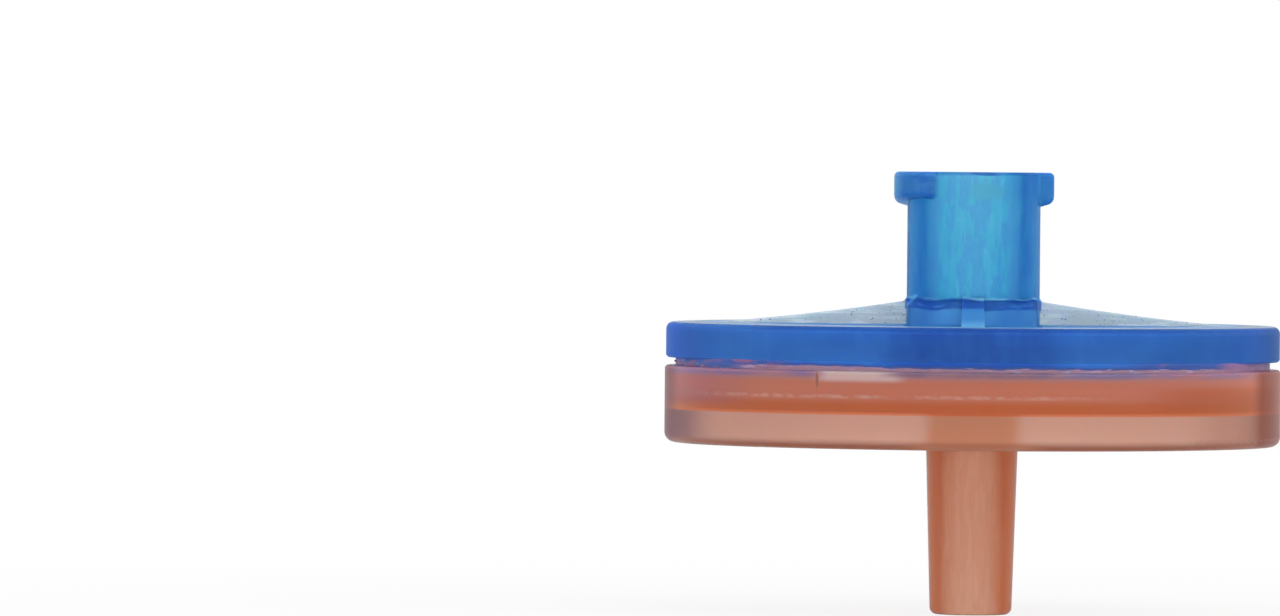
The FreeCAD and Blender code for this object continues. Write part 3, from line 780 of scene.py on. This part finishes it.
def membrane_film():
    """Cast microporous membrane: matte, white and faintly uneven."""
    material, tree = bare("cast_microporous_membrane")
    pores = speckle(tree, places(tree)[0], *PORE_GRAIN)
    normal = add(tree, "ShaderNodeBump", {
        "Height": pores, "Strength": 0.2, "Distance": PORE_DEPTH * MM}).outputs[0]
    white = painted(tree, colour(PORE_DARK), colour(PORE_LIGHT), pores)
    surface = add(tree, "ShaderNodeBsdfPrincipled", {
        "Base Color": white, "Roughness": 0.9, "IOR": 1.4, "Normal": normal}).outputs[0]
    add(tree, "ShaderNodeOutputMaterial", {"Surface": surface})
    print(material.name, "has", len(tree.nodes), "nodes")
    return material


# %% [markdown]
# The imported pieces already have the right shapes, so they only need their materials.
# A material goes to the object's own slot, and the mesh isn't touched.

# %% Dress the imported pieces
def dress(node, material):
    """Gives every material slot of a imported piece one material."""
    piece = nodes[node]
    if not piece.material_slots:
        piece.data.materials.append(material)
    for slot in piece.material_slots:
        slot.link = "OBJECT"
        slot.material = material
    print(node, "wears", material.name)


dress("inlet_housing", blue_polypropylene)
dress("outlet_housing", orange_polypropylene)
dress("membrane", membrane_film())

# %% [markdown]
# Two things on the real filter are too small and uneven for the CAD model: the plastic
# that squeezed out of the weld, and a hair-thin ridge where two parts of the mould met.
# Both are rings, so one function makes them: a small section is carried round the axis,
# and its radius, height and thickness wander with the angle. The wandering is a sum of
# sine waves that close after one turn, so the ring has no seam.

# %% Wandering rings
BEAD_SIDES = 16
LEAST_WAVE, MOST_WAVE = 0.5, 1.0


def wander(angle, waves, rng):
    """A smooth random value, about -1 to 1, for each angle.

    It is a sum of sines with whole numbers of waves, random phases and random sizes.
    """
    total = np.zeros_like(angle)
    for count in waves:
        total += np.sin(count * angle + rng.uniform(0, 2 * np.pi)) * rng.uniform(LEAST_WAVE, MOST_WAVE)
    return total / np.sqrt(len(waves))


def bead(name, radius, height, half_depth, half_height, material, press=1.0):
    """A closed ring. radius, height, half_depth and half_height are arrays over one turn, in mm.

    Its section is an ellipse whose cosine and sine are raised to the power press, with their signs
    kept: 1 leaves the ellipse, and less presses its sides flat.
    """
    turns, sides = len(radius), BEAD_SIDES
    angle = np.linspace(0, 2 * np.pi, turns, endpoint=False)[:, None]
    around = np.linspace(0, 2 * np.pi, sides, endpoint=False)[None, :]
    out, up = (np.sign(wave) * np.abs(wave) ** press for wave in (np.cos(around), np.sin(around)))
    reach = radius[:, None] + half_depth[:, None] * out
    points = np.stack([reach * np.cos(angle), reach * np.sin(angle),
                       height[:, None] + half_height[:, None] * up], axis=-1).reshape(-1, 3) * MM
    row, side = np.meshgrid(np.arange(turns), np.arange(sides), indexing="ij")
    next_row, next_side = (row + 1) % turns, (side + 1) % sides
    faces = np.stack([row * sides + side, next_row * sides + side,
                      next_row * sides + next_side, row * sides + next_side], axis=-1).reshape(-1, 4)
    mesh = bpy.data.meshes.new(name)
    mesh.from_pydata(points.tolist(), [], faces.tolist())
    mesh.polygons.foreach_set("use_smooth", np.ones(len(faces), dtype=bool))
    piece = bpy.data.objects.new(name, mesh)
    bpy.context.collection.objects.link(piece)
    mesh.materials.append(material)
    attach(piece, "root")
    print(name, len(faces), "faces, reaches", round(reach.max(), 2), "mm from the axis")
    return piece


# %% [markdown]
# The flash has the rim's blue in front, with the rim's painted shade of the hub in the
# middle. At the ends the orange ran into it, so it turns slate and violet there, with torn,
# milky shreds on the left and a pink right end. A navy line of painted shadow and a
# pinkish one lie along its foot, where it meets the lip.

# %% Plastic of the weld flash
FLASH_MILK = RIM_MILK
SLATE, VIOLET, NAVY_SHADOW, PINK = "#4a60a0", "#746c9e", "#4c609e", "#b08c9c"
FLAKE_TONE, SHRED_TONE, RIGHT_PINK, TORN_TONE = "#c4a4bc", "#a06c88", "#a87890", "#b4b4d8"
# Heights above the lip of the navy line of painted shadow at the flash's foot.
NAVY_SHADOW_LOW, NAVY_SHADOW_HIGH = 0.15, 0.27
FLASH_DYE = (0.3, 0.5, 0.85, 1.0)
FLASH_SPREAD = (0.3, 0.4, 0.8)
LEFT_PART, RIGHT_PART, FAR_RIGHT_PART = (-SIDE, -9.0, 3.0), (7.5, SIDE, 3.0), (12.0, SIDE, 1.0)
LINES_PART, DROP_PART, DROP = (-11.0, 13.0, 2.0), (-SIDE, -5.0, 5.0), 0.08
FOOT_SWAY = ((0.9, 0.9, 3.0), 0.16)
SWIRL = ((1.3, 1.3, 0.3), 3.0)
FLAKES = ((0.9, 0.9, 0.12), 2.0, 0.62, 0.05)
SHREDS = ((1.6, 1.6, 0.3), 3.0, 0.54, 0.05)
TORN = ((0.8, 0.8, 0.2), 2.0, 0.69, 0.04)


def flash_paint(tree):
    """Melted plastic: the rim's blue in front, and slate, violet and pink at the ends."""
    coats = Coats(tree, RIM_BLUE, FLASH_MILK)
    # The rim's painted shade of the hub, in the middle.
    coats.lay(RIM_HUB_SHADE, None, rim_shaded_middle(tree, coats.x))
    swirl = coats.noise(*SWIRL)
    left = coats.across(*LEFT_PART)
    ends = sums(tree, "ADD", left, coats.across(*RIGHT_PART))
    coats.lay(SLATE, None, ends, 0.85)
    coats.lay(VIOLET, None, ends, patches(tree, swirl, 0.6, 0.1))
    drop = coats.both(coats.across(*DROP_PART), DROP)
    foot = coats.swaying(sums(tree, "SUBTRACT", coats.height, drop), *FOOT_SWAY)
    middle = coats.across(*LINES_PART)
    # A navy line of painted shadow along the flash's foot.
    coats.lay(NAVY_SHADOW, None, middle, band(tree, foot, lip_top + NAVY_SHADOW_LOW, lip_top + NAVY_SHADOW_HIGH, 0.05), 0.85)
    coats.lay(PINK, None, middle, band(tree, foot, 0.0, lip_top + NAVY_SHADOW_LOW, 0.05))
    lower = coats.level(0.0, lip_top + 0.2, 0.08)
    coats.lay(FLAKE_TONE, None, lower, coats.cloud(*FLAKES))
    coats.lay(SHRED_TONE, None, left, coats.cloud(*SHREDS), 0.8)
    coats.lay(RIGHT_PINK, None, coats.across(*FAR_RIGHT_PART), 0.75)
    coats.lay(TORN_TONE, None, coats.cloud(*TORN), coats.either(left, lower))
    return coats.tone, coats.milk, coats.rough(swirl, strength=0.4, depth=0.05), None


melted_flash = dyed_plastic("melted_polypropylene_flash", flash_paint, haze=0.3, gloss=0.45,
                            spread=FLASH_SPREAD, dye=FLASH_DYE, dye_density=500.0)

# %% [markdown]
# The two rims were welded by melting a ring between them. In front the plastic filled
# the groove and was pressed flat against the tool, and at the sides it stayed at the
# groove's floor. So the main piece is a flat band that comes out in front and behind.
# A second ring, thin as a feather, gives the ragged edge and the torn flake on the left.

# %% Weld flash in the groove
GROOVE_R = 14.45
FLUSH_R = 14.93
SUNK = 0.02         # how far the band stands out of the groove's floor where it sank
ROOTED = 0.1        # how far it reaches into the floor
FRONT_SHARE = 0.35  # the squared sine at which the band is flush
PRESSED = 0.35      # the power that flattens the band's section
OVERLAP, SWELL, LIFT = 0.01, 0.06, 0.03     # how the band laps over the rims, most of it in front
RAGGED_REACH, RAGGED_RISE = 0.015, 0.05
FLAKE_WIDTH = 0.2   # of the torn flake, in radians
THIN, THIN_FRONT, THIN_FLAKE = 0.02, 0.05, 0.12     # the feather's reach, in all and where it is more
FLATNESS = 0.3      # the feather's thickness beside its reach
RAGGED_WAVES = (12, 19, 31, 47, 83)
FEATHER_WAVES = (17, 29, 61, 97)
FLASH_STEPS = 1440
FLASH_SEED = 3


def weld_flash():
    """A flat band that is flush in front and sinks to the groove's floor at the sides, and a feather.

    How far the band stands out is a smooth step of the squared sine of the angle. The feather's
    flake is a bell curve of the angle from the left.
    """
    angle = np.linspace(0, 2 * np.pi, FLASH_STEPS, endpoint=False)
    rng = np.random.default_rng(FLASH_SEED)
    ragged = wander(angle, RAGGED_WAVES, rng)
    step = np.clip(np.sin(angle) ** 2 / FRONT_SHARE, 0, 1)
    step = step * step * (3 - 2 * step)
    outer = GROOVE_R + SUNK + (FLUSH_R - GROOVE_R - SUNK) * step + RAGGED_REACH * ragged
    half_depth = (outer - GROOVE_R + ROOTED) / 2
    middle = (lip_top + rim_low) / 2
    half_height = (rim_low - lip_top) / 2 + OVERLAP + SWELL * step
    pressed = bead("weld_flash_band", outer - half_depth, middle + LIFT * step, half_depth, half_height,
                   melted_flash, press=PRESSED)
    flake = np.exp(-((angle - np.pi) / FLAKE_WIDTH) ** 2)
    size = np.clip(0.5 + 0.5 * wander(angle, FEATHER_WAVES, rng), 0.1, 1.1)
    reach = (THIN + THIN_FRONT * step + THIN_FLAKE * flake) * size
    feather = bead("weld_flash_feather", np.full_like(angle, GROOVE_R), middle + RAGGED_RISE * ragged,
                   reach, FLATNESS * reach, melted_flash)


weld_flash()

# %% [markdown]
# Round the hub, where the core of the mould met its sleeve, a ridge as thin as a hair
# was left. It comes and goes, because the parts of a mould never meet evenly.

# %% Parting ridge round the hub
SIZE_WAVES = (3, 5, 9, 17, 29)
SWAY_WAVES = (2, 5, 11)
RIDGE_STEPS = 720
RIDGE_SEED = 5


def parting_ridge():
    """A hair-thin ridge at the mould's joint, higher in some places and gone in others."""
    angle = np.linspace(0, 2 * np.pi, RIDGE_STEPS, endpoint=False)
    rng = np.random.default_rng(RIDGE_SEED)
    size = np.clip(0.45 + 0.55 * wander(angle, SIZE_WAVES, rng), 0.05, 1.1)
    sway = wander(angle, SWAY_WAVES, rng)
    ridge = bead("hub_parting_ridge", np.full_like(angle, HUB_R - 0.01), joint + 0.04 * sway,
                 0.01 + 0.05 * size, 0.02 + 0.05 * size, blue_polypropylene)


parting_ridge()

# %% [markdown]
# The filter stands on the tip of its nozzle, on plain white paper. Around the tip the
# floor is matte and keeps the soft shadow. Further out it glows white to the eye, so
# that it has no edge. Mirror-like reflections see a little less than white, because the
# real room wasn't white all round.

# %% Floor
FLOOR_REACH = 3000
SHADOW_NEAR, SHADOW_FAR = 15, 90
GLOW_NEAR = 0.88
PAPER = "#f4f4f4"
GLOSS_SEES = 0.75


def seen_by_eye(tree):
    """1 for a ray from the camera or through clear plastic, and a little less for a reflected one."""
    path = add(tree, "ShaderNodeLightPath")
    return sums(tree, "MAXIMUM", path.outputs["Is Camera Ray"], path.outputs["Is Transmission Ray"],
                sums(tree, "MULTIPLY", path.outputs["Is Glossy Ray"], GLOSS_SEES))


def floor():
    """A white floor that keeps the soft shadow near the tip, and fades to plain white further out."""
    material, tree = bare("white_floor")
    matte = add(tree, "ShaderNodeBsdfDiffuse", {"Color": colour(PAPER)}).outputs[0]
    glow = add(tree, "ShaderNodeEmission", {"Color": (1, 1, 1, 1), "Strength": 1.0}).outputs[0]
    far = add(tree, "ShaderNodeMapRange", {
        "Value": places(tree)[4], "From Min": SHADOW_NEAR, "From Max": SHADOW_FAR, "To Min": GLOW_NEAR},
        interpolation_type="SMOOTHSTEP").outputs[0]
    share = sums(tree, "MULTIPLY", seen_by_eye(tree), far)
    surface = add(tree, "ShaderNodeMixShader", {0: share, 1: matte, 2: glow}).outputs[0]
    add(tree, "ShaderNodeOutputMaterial", {"Surface": surface})
    reach = FLOOR_REACH * MM
    mesh = bpy.data.meshes.new("floor")
    mesh.from_pydata([(-reach, -reach, 0), (reach, -reach, 0), (reach, reach, 0), (-reach, reach, 0)],
                     [], [(0, 1, 2, 3)])
    mesh.materials.append(material)
    ground = bpy.data.objects.new("floor", mesh)
    bpy.context.collection.objects.link(ground)
    print("floor", 2 * reach, "m wide")


floor()

# %% [markdown]
# The light is that of a white tent: the world is white to the eye and weaker as light,
# and two large lamps stand in front, the stronger one high on the right. The weaker one
# is faintly blue, as skylight is. Large lamps give soft shadows and broad, dull glints.

# %% Studio light
SKY_ON_MATTE = 0.65
LAMPS_AIM = (0, 0, 12)
# Each lamp: its name, its place in mm, its size in mm, its watts and its tint.
LAMPS = (("key", (450, -630, 630), 900, 3.9, "#ffffff"), ("fill", (-630, -450, 360), 800, 1.3, "#e6e4ff"))


def sky():
    """White to the eye and through the plastic, and weaker as light on matte surfaces."""
    world = bpy.data.worlds.new("studio")
    bpy.context.scene.world = world
    world.use_nodes = True
    tree = world.node_tree
    tree.nodes.clear()
    strength = add(tree, "ShaderNodeMapRange", {"Value": seen_by_eye(tree), "To Min": SKY_ON_MATTE})
    light = add(tree, "ShaderNodeBackground", {"Color": (1, 1, 1, 1), "Strength": strength.outputs[0]})
    add(tree, "ShaderNodeOutputWorld", {"Surface": light.outputs[0]})


def softbox(name, place, size, watts, tint):
    """A square lamp, aimed at the filter's middle."""
    lamp = bpy.data.lights.new(name, "AREA")
    lamp.size = size * MM
    lamp.energy = watts
    lamp.color = colour(tint)[:3]
    box = bpy.data.objects.new(name, lamp)
    box.location = Vector(place) * MM
    box.rotation_euler = (Vector(LAMPS_AIM) - Vector(place)).to_track_quat("-Z", "Y").to_euler()
    bpy.context.collection.objects.link(box)
    print(name, "lamp,", watts, "W,", round(Vector(place).length), "mm away")


sky()
for lamp_values in LAMPS:
    softbox(*lamp_values)
